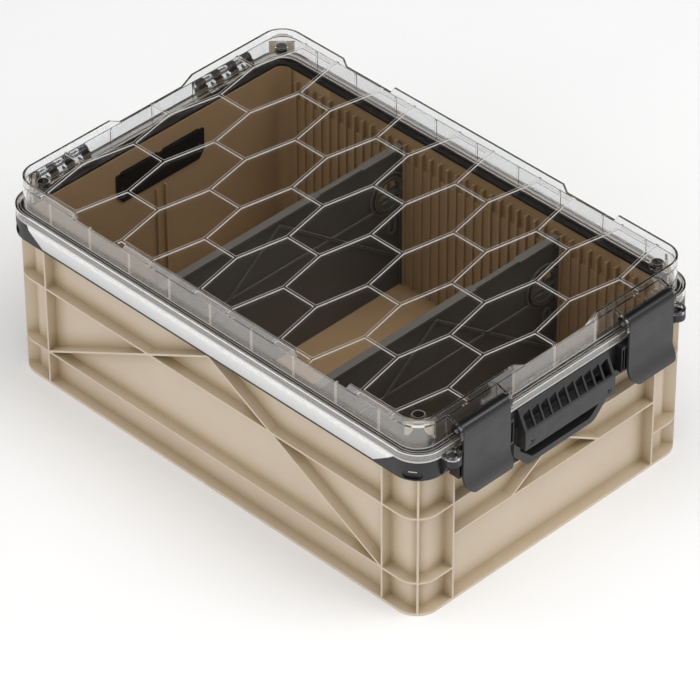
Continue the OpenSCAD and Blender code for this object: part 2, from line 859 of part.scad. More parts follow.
module lid_solid() {
  // Flange
  translate([0, 0, lid_z])
    linear_extrude(flange_top - lid_z)
      ring2d(frame_w, frame_l, frame_r, lid_wall);
  translate([0, 0, flange_top - lid_wall])
    linear_extrude(lid_wall)
      difference() {
        frame_plan2d(0.5);
        rounded(lid_w - 2 * lid_wall, lid_l - 2 * lid_wall, lid_r - lid_wall);
      }
  lid_walls();
  translate([0, 0, plate_top - lid_plate])
    linear_extrude(lid_plate)
      rounded(lid_w - 1, lid_l - 1, lid_r - 0.5);
  translate([0, 0, plate_top - cut])
    linear_extrude(hex_rise + cut)
      intersection() {
        honeycomb2d();
        rounded(lid_w - lid_wall, lid_l - lid_wall, lid_r - lid_wall / 2);
      }
  // Upright ribs inside the walls
  for (s = [-1, 1]) {
    for (k = [-4 : 4])
      lid_upright(s * (lid_w / 2 - lid_wall), k * lid_rib_pitch);
    for (k = [-1 : 1])
      lid_upright(k * lid_rib_pitch, s * (lid_l / 2 - lid_wall));
  }
  for (sx = [-1, 1], sy = [-1, 1])
    translate([sx * boss_x, sy * boss_y, plate_top - boss_h])
      rotate(atan2(sy, sx)) {
        cylinder(r = boss_r, h = boss_h - cut, $fn = round_fn);
        translate([bracket_out - bracket_t / 2, 0, boss_h - plate_top])
          rotate([90, 0, 90])
            linear_extrude(bracket_t)
              bracket2d();
      }
  for (s = [-1, 1]) {
    for (t = [-1, 1])
      along_x(s * latch_x + t * (latch_half + ear_gap + ear_t / 2), ear_t)
        ear2d();
    translate([s * eye_mid_x, eye_mid_y, lid_z])
      linear_extrude(lid_eye_t)
        eye_tab2d();
    lid_knuckles(s);
  }
}

module lid_shell() {
  color([0.86, 0.9, 0.92, 0.4])
  difference() {
    lid_solid();
    eye_holes();
    for (s = [-1, 1]) {
      bar_x(s * latch_x, latch_axis_y, latch_axis_z, latch_pin_r, latch_w + 4 * ear_t);
      bar_x(s * latch_x, hinge_axis_y, hinge_axis_z, hinge_pin_r + run_gap, hinge_w);
    }
    for (sx = [-1, 1], sy = [-1, 1])
      translate([sx * boss_x, sy * boss_y, plate_top - boss_h + 2])
        cylinder(r = boss_hole_r, h = boss_h + lip_h, $fn = round_fn);
  }
}

// The latch's side profile, drawn as (y, z)
module latch_profile2d() {
  sweep = [for (i = [0 : 6]) i * flare_a / 6];
  mid_y = latch_front - flare_r;
  hook_z = keeper_z - hook_gap;
  back_r = flare_r + latch_t;
  polygon(concat(
    [[latch_front, latch_axis_z]],
    [for (a = sweep) [mid_y + flare_r * cos(a), latch_bend_z - flare_r * sin(a)]],
    [for (a = sweep) let (b = flare_a - a) [mid_y + back_r * cos(b), latch_bend_z - back_r * sin(b)]],
    [[latch_back, hook_z - 6], [latch_back + hook_d, hook_z - 3], [latch_back + hook_d, hook_z],
      [latch_back, hook_z], [latch_back, latch_axis_z - latch_roll_r + 1], [latch_axis_y, latch_axis_z - 3],
      [latch_axis_y, latch_axis_z]]));
}

// The latch seen from the front, drawn as (x, z). Its lower corners are round in the swept plate's plane.
module latch_front2d() {
  low = latch_bend_z - flare_r * sin(flare_a) - 0.2;
  rise = latch_corner_r * cos(flare_a) + 1.5;
  corner = latch_half - latch_corner_r;
  right = [for (i = [0 : 6]) [corner + latch_corner_r * sin(15 * i), low + rise * (1 - cos(15 * i))]];
  polygon(concat(right, [[latch_half, latch_axis_z + 1], [-latch_half, latch_axis_z + 1]],
    [for (i = [6 : -1 : 0]) [-right[i][0], right[i][1]]]));
}

module latch(side) {
  color([0.25, 0.25, 0.255])
  difference() {
    union() {
      intersection() {
        along_x(side * latch_x, latch_w)
          latch_profile2d();
        translate([side * latch_x, 0, 0])
          along_y(latch_front - flare_r - 1, flare_r + latch_roll_r + 2)
            latch_front2d();
      }
      bar_x(side * latch_x, latch_axis_y, latch_axis_z, latch_roll_r, latch_w);
    }
    bar_x(side * latch_x, latch_axis_y, latch_axis_z, latch_pin_r + run_gap, latch_w + 2);
    // The hook is narrower than the plate
    for (s = [-1, 1])
      translate([side * latch_x + s * (hook_half + latch_half) - latch_half, latch_back, keeper_z - 8])
        cube([latch_w, hook_d + 1, 9]);
  }
}

module latch_pin(side) {
  color([0.7, 0.71, 0.73])
    bar_x(side * latch_x, latch_axis_y, latch_axis_z, latch_pin_r, latch_w + 2 * ear_gap + 2 * ear_t);
}

module hinge_pin(side) {
  color([0.7, 0.71, 0.73])
    bar_x(side * latch_x, hinge_axis_y, hinge_axis_z, hinge_pin_r, hinge_w);
}

// Side profile of the handle housing, drawn in by a wall's thickness, as (y, z)
module housing2d(inset) {
  back_y = handle_back_y + (inset > 0 ? cut : 0);
  flat_y = handle_back_y - (inset > 0 ? 0 : handle_flat);
  low_z = housing_z - (inset > 0 ? cut : 0);
  polygon([[back_y, shelf_top_z - inset], [flat_y, shelf_top_z - inset],
    [handle_front_y + 1.1 * inset, crease_z], [handle_front_y + inset, low_z], [back_y, low_z]]);
}

// Right half of a U-shaped outline with a rounded lower corner, drawn as (x, z)
function u_half(half, low_half, side_z, low_z, r) =
  let (lean = atan2(half - low_half, side_z - low_z), cut_back = r * tan((90 - lean) / 2))
  concat(arc([low_half - cut_back, low_z + r], r, -90, -lean), [[half, side_z]]);

module u_shape2d(half, low_half, side_z, low_z, top_z, r) {
  right = u_half(half, low_half, side_z, low_z, r);
  polygon(concat(right, [[half, top_z], [-half, top_z]],
    [for (i = [len(right) - 1 : -1 : 0]) [-right[i][0], right[i][1]]]));
}

// Outline of the hand's opening in the grip plate, drawn as (x, z)
module grip_hole2d(grow) {
  u_shape2d(hole_half + grow, hole_low_half + grow / 2, hole_side_z - grow / 2, grip_in_z - grow,
    keeper_base - 5, grip_r - 5);
}

// Outline of the grip plate, drawn as (x, z)
module grip_plate2d() {
  difference() {
    union() {
      u_shape2d(grip_half, grip_low_half, hole_side_z - 2, grip_z, frame_base - gap, grip_r);
      translate([-wing_half, wing_z])
        square([2 * wing_half, keeper_base - gap - wing_z]);
    }
    grip_hole2d(0);
  }
}

// The shallow tray that closes the space behind the grip
module grip_tray() {
  difference() {
    along_y(grip_y1 - cut, wall_y - gap - grip_y1 + cut)
      intersection() {
        grip_hole2d(tray_t);
        translate([-crate_w / 2, rib_high_z + rib_t / 2 + gap])
          square([crate_w, wall_hole_z0 - rib_high_z - rib_t / 2 - 2 * gap]);
      }
    along_y(grip_y1 - 2 * cut, wall_y - gap - tray_t - grip_y1 + 2 * cut)
      grip_hole2d(0);
  }
}

module handle() {
  pitch = (2 * handle_half - 5) / grille_slots;
  color([0.2, 0.2, 0.205])
  difference() {
    union() {
      difference() {
        along_x(0, 2 * handle_half)
          housing2d(0);
        along_x(0, 2 * handle_half - 2 * handle_t)
          housing2d(handle_t);
        along_y(handle_front_y - 2, handle_back_y - handle_front_y + 1.4)
          for (i = [0 : grille_slots - 1]) {
            x = (i - grille_slots / 2) * pitch + grille_fin / 2;
            polygon([[x, crease_z + 2], [x + pitch - grille_fin, crease_z + 2],
              [x + pitch - grille_fin, shelf_top_z - 5], [x, shelf_top_z - 5 - grille_tilt]]);
          }
      }
      along_y(grip_y0, grip_y1 - grip_y0)
        grip_plate2d();
      grip_tray();
      for (s = [-1, 1])
        translate([s * screw_x, handle_front_y, screw_z])
          rotate([-90, 0, 0])
            cylinder(r = screw_boss_r, h = wall_y - gap - handle_front_y, $fn = round_fn);
    }
    for (s = [-1, 1])
      translate([s * screw_x, handle_front_y - cut, screw_z])
        rotate([-90, 0, 0]) {
          cylinder(r = screw_head_r + gap, h = 3 + cut, $fn = round_fn);
          cylinder(r = screw_r + 0.1, h = wall_y - handle_front_y + 2 * cut, $fn = round_fn);
        }
  }
}

// The liner closes the hole in the tub's wall behind the fingers
module handle_liner() {
  color([0.1, 0.1, 0.105])
  difference() {
    union() {
      along_y(wall_y, wall)
        wall_hole2d(-gap);
      along_y(inner_y, liner_t)
        wall_hole2d(liner_lip);
      for (s = [-1, 1])
        translate([s * hole_half / 2 - hole_half / 2 + 4, inner_y, wall_hole_z1])
          cube([hole_half - 8, liner_t + 1.5, liner_lip + 2]);
    }
    for (s = [-1, 1])
      translate([s * screw_x, wall_y - cut, screw_z])
        rotate([-90, 0, 0])
          cylinder(r = screw_r, h = wall + liner_t + 2 * cut, $fn = round_fn);
  }
}

module handle_screws() {
  head_y = handle_front_y + 0.5;
  color([0.3, 0.3, 0.31])
    for (s = [-1, 1])
      translate([s * screw_x, head_y, screw_z])
        rotate([-90, 0, 0])
          difference() {
            union() {
              cylinder(r = screw_head_r, h = 2.5, $fn = round_fn);
              cylinder(r = screw_r, h = inner_y + liner_t - head_y, $fn = round_fn);
            }
            translate([0, 0, -cut])
              cylinder(r = 1.8, h = 1.3 + cut, $fn = 6);
          }
}

// An upright shape with round ends, drawn as (x, z); its ends' centres lie a run apart
module loop2d(x, z, r, run) {
  translate([x - r, z - run / 2])
    square([2 * r, run]);
  for (s = [-1, 1])
    translate([x, z + s * run / 2])
      circle(r = r, $fn = round_fn);
}

// Stiffening ribs of the divider's faces, drawn as (x, z)
module divider_ribs2d() {
  v_top = divider_top - v_drop;
  bar_z = ring_z - 15;
  loop_x = ring_x + 6;
  loop_z = ring_z - 45;
  intersection() {
    translate([-divider_half, divider_z])
      square([2 * divider_half, divider_top - divider_z]);
    union() {
      bar2d([-divider_half, bar_z], [ring_x - ring_r + 3, bar_z], 3);
      for (s = [-1, 1])
        bar2d([0, v_top], [s * divider_half, v_top - 0.76 * divider_half], 3);
      difference() {
        translate([ring_x, ring_z])
          circle(r = ring_r + 4.5, $fn = round_fn);
        translate([ring_x, ring_z])
          circle(r = ring_r + 2.5, $fn = round_fn);
      }
      difference() {
        loop2d(loop_x, loop_z, loop_r, 2 * loop_r);
        loop2d(loop_x, loop_z, loop_r - 2, 2 * loop_r);
      }
    }
  }
}

module divider_board() {
  difference() {
    union() {
      along_y(-web_t / 2, web_t)
        translate([-divider_half, divider_z])
          square([2 * divider_half, divider_top - divider_z]);
      along_y(-edge_narrow / 2, edge_narrow)
        divider_ribs2d();
      along_y(-divider_edge / 2, divider_edge)
        translate([ring_x, ring_z])
          circle(r = ring_r, $fn = round_fn);
      for (s = [-1, 1])
        translate([s * (divider_half - edge_t / 2) - edge_t / 2, -divider_edge / 2, divider_z])
          cube([edge_t, divider_edge, divider_top - divider_z]);
      for (x = [[-divider_half, narrow_x0], [narrow_x1, divider_half]])
        translate([x[0], -divider_edge / 2, divider_top - edge_t])
          cube([x[1] - x[0], divider_edge, edge_t]);
      translate([narrow_x0 - 1, -edge_narrow / 2, divider_top - edge_t])
        cube([narrow_x1 - narrow_x0 + 2, edge_narrow, edge_t]);
    }
    translate([ring_x, -divider_edge, ring_z])
      rotate([-90, 0, 0])
        cylinder(r = ring_hole_r, h = 2 * divider_edge, $fn = round_fn);
  }
}

// The divider with the bar across its finger hole
module divider(slot) {
  color([0.3, 0.3, 0.305])
  translate([0, slot * slot_pitch, 0]) {
    divider_board();
    bar_x(ring_x, 0, ring_bar_z, ring_bar_r, 2 * ring_hole_r + 2);
  }
}

crate_tub();
rim_frame();
side_rail(-1);  // side_rail_left
side_rail(1);  // side_rail_right
lid_gasket();
lid_shell();
latch(-1);  // latch_left
latch(1);  // latch_right
latch_pin(-1);  // latch_pin_left
latch_pin(1);  // latch_pin_right
hinge_pin(-1);  // hinge_pin_left
hinge_pin(1);  // hinge_pin_right
handle();  // handle_front
rotate([0, 0, 180]) handle();  // handle_rear
handle_liner();  // handle_liner_front
rotate([0, 0, 180]) handle_liner();  // handle_liner_rear
handle_screws();  // handle_screws_front
rotate([0, 0, 180]) handle_screws();  // handle_screws_rear
divider(front_slot);  // divider_front
divider(rear_slot);  // divider_rear
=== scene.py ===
"""Looks of a ribbed storage crate with a clear hinged lid, two latches and two lift-out dividers."""
import math

import bpy
from mathutils import Matrix, Vector

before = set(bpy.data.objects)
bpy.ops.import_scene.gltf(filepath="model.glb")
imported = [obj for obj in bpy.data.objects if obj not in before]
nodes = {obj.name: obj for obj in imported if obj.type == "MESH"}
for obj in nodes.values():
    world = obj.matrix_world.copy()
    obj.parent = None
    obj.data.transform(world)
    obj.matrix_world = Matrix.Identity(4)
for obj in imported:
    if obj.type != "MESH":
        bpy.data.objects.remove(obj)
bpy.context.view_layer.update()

# The dark flag's direction, the span of its soft edge, and the studio's strength outside and inside it
FLAG_AXIS, FLAG_RAMP = (0.555, 0.556, 0.62), (0.66, 0.88, 0.8, 0.03)

# Camera: azimuth, elevation and roll in degrees, distance in metres
AZIMUTH, ELEVATION, ROLL = -44.866, 38.29, -0.204
DISTANCE, FOCAL_PX = 5.0533, 4811.9
TARGET = Vector((0, 0, 0.1))
TARGET_PX = (347.03, 328.63)
IMAGE = 700

# The tub's cavity and the wider recess above its ledge, which are painted in shade: half runs, corner
# radius and heights in metres
CAVITY = (0.173, 0.273, 0.0128)
RECESS, RECESS_Y, RECESS_Z = (0.1, 0.2, 0.0885), 0.271, (0.1685, 0.3)
# Heights over which the cavity's floor, painted lighter than its walls, ends
FLOOR_Z = (0.0052, 0.007)

# The lid in metres. Its flange: its end toward the hinges, its heights, and the heights of its painted
# highlight lines
FLANGE_RUN, FLANGE_Z = 0.3056, (0.2036, 0.2139)
FLANGE_EDGES = ((0.2036, 0.2047), (0.2126, 0.214))
# Painted highlight lines round the flange's corners
RING_AT, RING_RADII, RING_W, RING_Z = (0.173, 0.273), (0.0262, 0.0292), 0.0006, (0.2135, 0.2145)
# Ribs on its plate, its walls and its raised lips, which take painted highlights and a painted sheen
RIB_Z, RIB_X, RIB_Y = (0.2408, 0.2436), 0.1935, 0.2925
WALL_Z, LIP_Z, OUTER_X, OUTER_Y = (0.2139, 0.2415), (0.2415, 0.2503), 0.1978, 0.2968
# Where the latches interrupt the front wall and the painted sheen is weak
LATCH_X, FRONT_Y = (0.0605, 0.181), (0.29, 0.2905)
# Upright ribs of the near walls, which take painted highlight lines
STAY_STEP, STAY_HALF, STAY_Z = 0.03, 0.0013, (0.2141, 0.2395)
STAY_X, STAY_Y, STAY_REACH = (-0.1955, -0.1922), (-0.2945, -0.2912), 0.07
# Sockets in the corners, painted dark as shade, and the brackets round them, with painted highlights
SOCKET_X, SOCKET_Y, SOCKET_R, SOCKET_Z = 0.174, 0.274, 0.0062, (0.233, 0.2413)
BRACKET_REACH, BRACKET_BAND, BRACKET_Z = 0.017, (0.0122, 0.0161), (0.224, 0.2405)

# How far below a latch's glossy band its painted shade line for a groove begins and ends
GROOVE_SHADE_LINE = (0.0034, 0.0024)
# The side rail's foot, the foot of its slanted face and its top; the rail is painted lighter upwards
# between them
RAIL_Z = (0.1847, 0.1988, 0.203)


def make_camera():
    a, e, r = (math.radians(v) for v in (AZIMUTH, ELEVATION, ROLL))
    back = Vector((math.sin(a) * math.cos(e), -math.cos(a) * math.cos(e), math.sin(e)))
    right = (-back).cross(Vector((0, 0, 1))).normalized()
    up = right.cross(-back)
    x_axis = right * math.cos(r) + up * math.sin(r)
    y_axis = up * math.cos(r) - right * math.sin(r)
    off_x = (TARGET_PX[0] - IMAGE / 2) * DISTANCE / FOCAL_PX
    off_y = -(TARGET_PX[1] - IMAGE / 2) * DISTANCE / FOCAL_PX
    place = TARGET + back * DISTANCE - x_axis * off_x - y_axis * off_y
    data = bpy.data.cameras.new("camera")
    data.sensor_width = 36
    data.lens = FOCAL_PX / IMAGE * data.sensor_width
    data.clip_start, data.clip_end = 0.1, 100
    camera = bpy.data.objects.new("camera", data)
    turn = Matrix((x_axis, y_axis, back)).transposed().to_4x4()
    camera.matrix_world = Matrix.Translation(place) @ turn
    bpy.context.scene.collection.objects.link(camera)
    bpy.context.scene.camera = camera


def area_light(name, place, size, power, aim=(0, 0, 0.1), colour=(1, 1, 1)):
    data = bpy.data.lights.new(name, "AREA")
    data.shape = "RECTANGLE"
    data.size, data.size_y = size
    data.energy = power
    data.color = colour
    light = bpy.data.objects.new(name, data)
    light.location = place
    light.rotation_mode = "QUATERNION"
    light.rotation_quaternion = (Vector(aim) - Vector(place)).to_track_quat("-Z", "Y")
    bpy.context.scene.collection.objects.link(light)


class Graph:
    """A material's node tree with short calls."""

    def __init__(self, name):
        self.material = bpy.data.materials.new(name)
        self.material.use_nodes = True
        self.tree = self.material.node_tree
        self.tree.nodes.clear()
        self.out = self.add("ShaderNodeOutputMaterial")

    def add(self, kind, **values):
        node = self.tree.nodes.new(kind)
        for key, value in values.items():
            if hasattr(node, key) and key not in node.inputs:
                setattr(node, key, value)
            else:
                node.inputs[key.replace("_", " ")].default_value = value
        return node

    def link(self, source, target):
        self.tree.links.new(source, target)

    def noise(self, scale, detail=3.0, stretch=None):
        coord = self.add("ShaderNodeTexCoord").outputs["Object"]
        if stretch:
            mapping = self.add("ShaderNodeMapping")
            mapping.inputs["Scale"].default_value = stretch
            self.link(coord, mapping.inputs["Vector"])
            coord = mapping.outputs["Vector"]
        node = self.add("ShaderNodeTexNoise", Scale=scale, Detail=detail)
        self.link(coord, node.inputs["Vector"])
        return node.outputs["Fac"]

    def ramp(self, source, low, high, a=0.3, b=0.7):
        node = self.add("ShaderNodeMapRange")
        node.inputs["From Min"].default_value = a
        node.inputs["From Max"].default_value = b
        node.inputs["To Min"].default_value = low
        node.inputs["To Max"].default_value = high
        self.link(source, node.inputs["Value"])
        return node.outputs["Result"]

    def blend(self, factor, one, two):
        node = self.add("ShaderNodeMix", data_type="RGBA")
        self.link(factor, node.inputs[0])
        for socket, colour in ((node.inputs[6], one), (node.inputs[7], two)):
            if isinstance(colour, tuple):
                socket.default_value = (*colour, 1)
            else:
                self.link(colour, socket)
        return node.outputs[2]

    def maths(self, operation, *values):
        node = self.add("ShaderNodeMath", operation=operation)
        for socket, value in zip(node.inputs, values):
            if isinstance(value, (int, float)):
                socket.default_value = value
            else:
                self.link(value, socket)
        return node.outputs[0]

    def times(self, first, *rest):
        """The product of masks and numbers."""
        for value in rest:
            first = self.maths("MULTIPLY", first, value)
        return first

    def most(self, first, *rest):
        """The largest of masks and numbers."""
        for value in rest:
            first = self.maths("MAXIMUM", first, value)
        return first

    def edges(self, radius, low=0.03, high=0.3):
        """1 along the sharp edges, 0 on the flats."""
        bevel = self.add("ShaderNodeBevel", samples=4, Radius=radius)
        flat = self.add("ShaderNodeNewGeometry")
        dot = self.add("ShaderNodeVectorMath", operation="DOT_PRODUCT")
        self.link(bevel.outputs["Normal"], dot.inputs[0])
        self.link(flat.outputs["Normal"], dot.inputs[1])
        return self.ramp(dot.outputs["Value"], 1, 0, 1 - high, 1 - low)

    def corners(self, distance):
        """0 in tight corners, 1 in the open."""
        node = self.add("ShaderNodeAmbientOcclusion", samples=4, Distance=distance, only_local=True)
        return node.outputs["AO"]

    def facing(self):
        """How far a face points up or down: 1, 0 or between."""
        split = self.add("ShaderNodeSeparateXYZ")
        self.link(self.add("ShaderNodeNewGeometry").outputs["True Normal"], split.inputs[0])
        return split.outputs["Z"]

    def outward(self):
        """1 on upright faces that point away from the crate's middle."""
        flat = self.add("ShaderNodeVectorMath", operation="MULTIPLY")
        self.link(self.add("ShaderNodeTexCoord").outputs["Object"], flat.inputs[0])
        flat.inputs[1].default_value = (1, 1, 0)
        dot = self.add("ShaderNodeVectorMath", operation="DOT_PRODUCT")
        self.link(flat.outputs["Vector"], dot.inputs[0])
        self.link(self.add("ShaderNodeNewGeometry").outputs["True Normal"], dot.inputs[1])
        return self.ramp(dot.outputs["Value"], 0, 1, 0, 0.01)

    def place(self):
        """The object's x, y and z in metres."""
        split = self.add("ShaderNodeSeparateXYZ")
        self.link(self.add("ShaderNodeTexCoord").outputs["Object"], split.inputs[0])
        return split.outputs

    def band(self, value, low, high, soft=0.0003):
        """1 while a value lies between two limits."""
        return self.times(self.ramp(value, 0, 1, low - soft, low + soft),
                          self.ramp(value, 1, 0, high - soft, high + soft))

    def within(self, run_x, run_y, radius):
        """1 inside an upright rounded box round the origin, 0 outside it."""
        x, y, _ = (self.maths("ABSOLUTE", v) for v in self.place())
        over = [self.most(self.maths("SUBTRACT", v, run), 0) for v, run in ((x, run_x), (y, run_y))]
        square = self.maths("ADD", *(self.times(v, v) for v in over))
        return self.maths("LESS_THAN", square, radius * radius)

    def bump(self, height, strength, distance, edge=0.0):
        node = self.add("ShaderNodeBump", Strength=strength, Distance=distance)
        self.link(height, node.inputs["Height"])
        if edge:
            bevel = self.add("ShaderNodeBevel", samples=4, Radius=edge)
            self.link(bevel.outputs["Normal"], node.inputs["Normal"])
        return node.outputs["Normal"]


def shade(colour, factor):
    return tuple(min(1.0, c * factor) for c in colour)


def moulded(name, colour, rough=0.5, vary=0.05, grain=0.25, edge=0.0006, metallic=0.0, specular=0.5,
            line=None, highlight_radius=0.0009, corner_shade=None, reach=0.02, gloss=None, inside=None, painted_top_light=None):
    """Moulded plastic: cloudy colour variation, fine grain in the bump and worn-looking roughness, with
    optional painted shade in corners and the tub's inside, painted highlights on edges and upward faces,
    and a darker glossy band.
    """
    g = Graph(name)
    bsdf = g.add("ShaderNodeBsdfPrincipled", Metallic=metallic, IOR=1.48)
    bsdf.inputs["Specular IOR Level"].default_value = specular
    cloud = g.noise(14, 4)
    speck = g.noise(900, 2)
    base = g.blend(g.ramp(cloud, 0, 1), shade(colour, 1 - vary), shade(colour, 1 + vary))
    base = g.blend(g.ramp(speck, 0, 0.35, 0.45, 0.75), base, shade(colour, 1 - 2 * vary))
    # Painted shade: the tub's cavity and recess take a darker colour, with their floor painted lighter
    if inside:
        recess = g.times(g.within(*RECESS), g.band(g.place()["Z"], *RECESS_Z),
                         g.band(g.place()["Y"], -RECESS_Y, RECESS_Y))
        floor = g.ramp(g.place()["Z"], 1, 0, *FLOOR_Z)
        painted_inner_shade = g.blend(floor, inside, shade(inside, 1.4))
        base = g.blend(g.most(recess, g.within(*CAVITY)), base, painted_inner_shade)
    # Painted shade in tight corners, from ambient occlusion
    if corner_shade:
        base = g.blend(g.ramp(g.corners(reach), 1, 0, 0.35, 0.95), base, corner_shade)
    # Painted highlights along sharp edges
    if line:
        base = g.blend(g.ramp(g.edges(highlight_radius), 0, 0.75, 0, 1), base, line)
    # Painted light: upward faces near the top are lighter
    if painted_top_light:
        up = g.ramp(g.facing(), 0, 1, 0.6, 0.9)
        base = g.blend(g.times(up, g.band(g.place()["Z"], painted_top_light[0], painted_top_light[0] + 0.1)), base, painted_top_light[1])
    dull = g.ramp(g.noise(60, 5), rough - 0.07, rough + 0.07)
    # A darker, glossier band, with a painted shade line for a groove below it
    if gloss:
        low, high, dark = gloss
        z = g.place()["Z"]
        mask = g.band(z, low, high, 0.0008)
        base = g.blend(g.most(mask, g.band(z, low - GROOVE_SHADE_LINE[0], low - GROOVE_SHADE_LINE[1])), base, dark)
        mix = g.add("ShaderNodeMix", data_type="FLOAT", B=0.16)
        g.link(mask, mix.inputs["Factor"])
        g.link(dull, mix.inputs["A"])
        dull = mix.outputs["Result"]
    g.link(base, bsdf.inputs["Base Color"])
    g.link(dull, bsdf.inputs["Roughness"])
    g.link(g.bump(g.noise(1800, 3), grain, 0.0002, edge), bsdf.inputs["Normal"])
    g.link(bsdf.outputs[0], g.out.inputs["Surface"])
    return g.material


def brushed(name, colour, rough=0.28, stretch=(200, 3, 200), strength=0.15, edge=0.0004, strip=None):
    """Bare metal with fine lines along Y; a strip is painted lighter upwards, with a painted highlight line
    at its top.
    """
    g = Graph(name)
    bsdf = g.add("ShaderNodeBsdfPrincipled", Metallic=1.0)
    line = g.noise(30, 6, stretch)
    base = g.blend(g.ramp(line, 0, 1), shade(colour, 0.88), shade(colour, 1.08))
    # Painted light: the rail's face is painted darker towards its foot, and its slanted face and top line
    # are made matte so they show as a painted highlight line
    if strip:
        low, high, top = strip
        z = g.place()["Z"]
        face = g.blend(g.ramp(z, 0, 1, low, high), shade(colour, 0.6), shade(colour, 0.8))
        shine = g.times(g.ramp(line, 0, 0.35), g.band(z, low, high))
        slant = g.band(z, high, top + 0.001)
        base = g.blend(g.most(shine, slant), face, base)
        matte_highlight = g.most(g.times(slant, 0.55), g.band(z, top - 0.001, top + 0.001))
        g.link(g.ramp(matte_highlight, 1, 0.1, 0, 1), bsdf.inputs["Metallic"])
    g.link(base, bsdf.inputs["Base Color"])
    g.link(g.ramp(line, rough - 0.08, rough + 0.1), bsdf.inputs["Roughness"])
    g.link(g.bump(line, strength, 0.0001, edge), bsdf.inputs["Normal"])
    g.link(bsdf.outputs[0], g.out.inputs["Surface"])
    return g.material


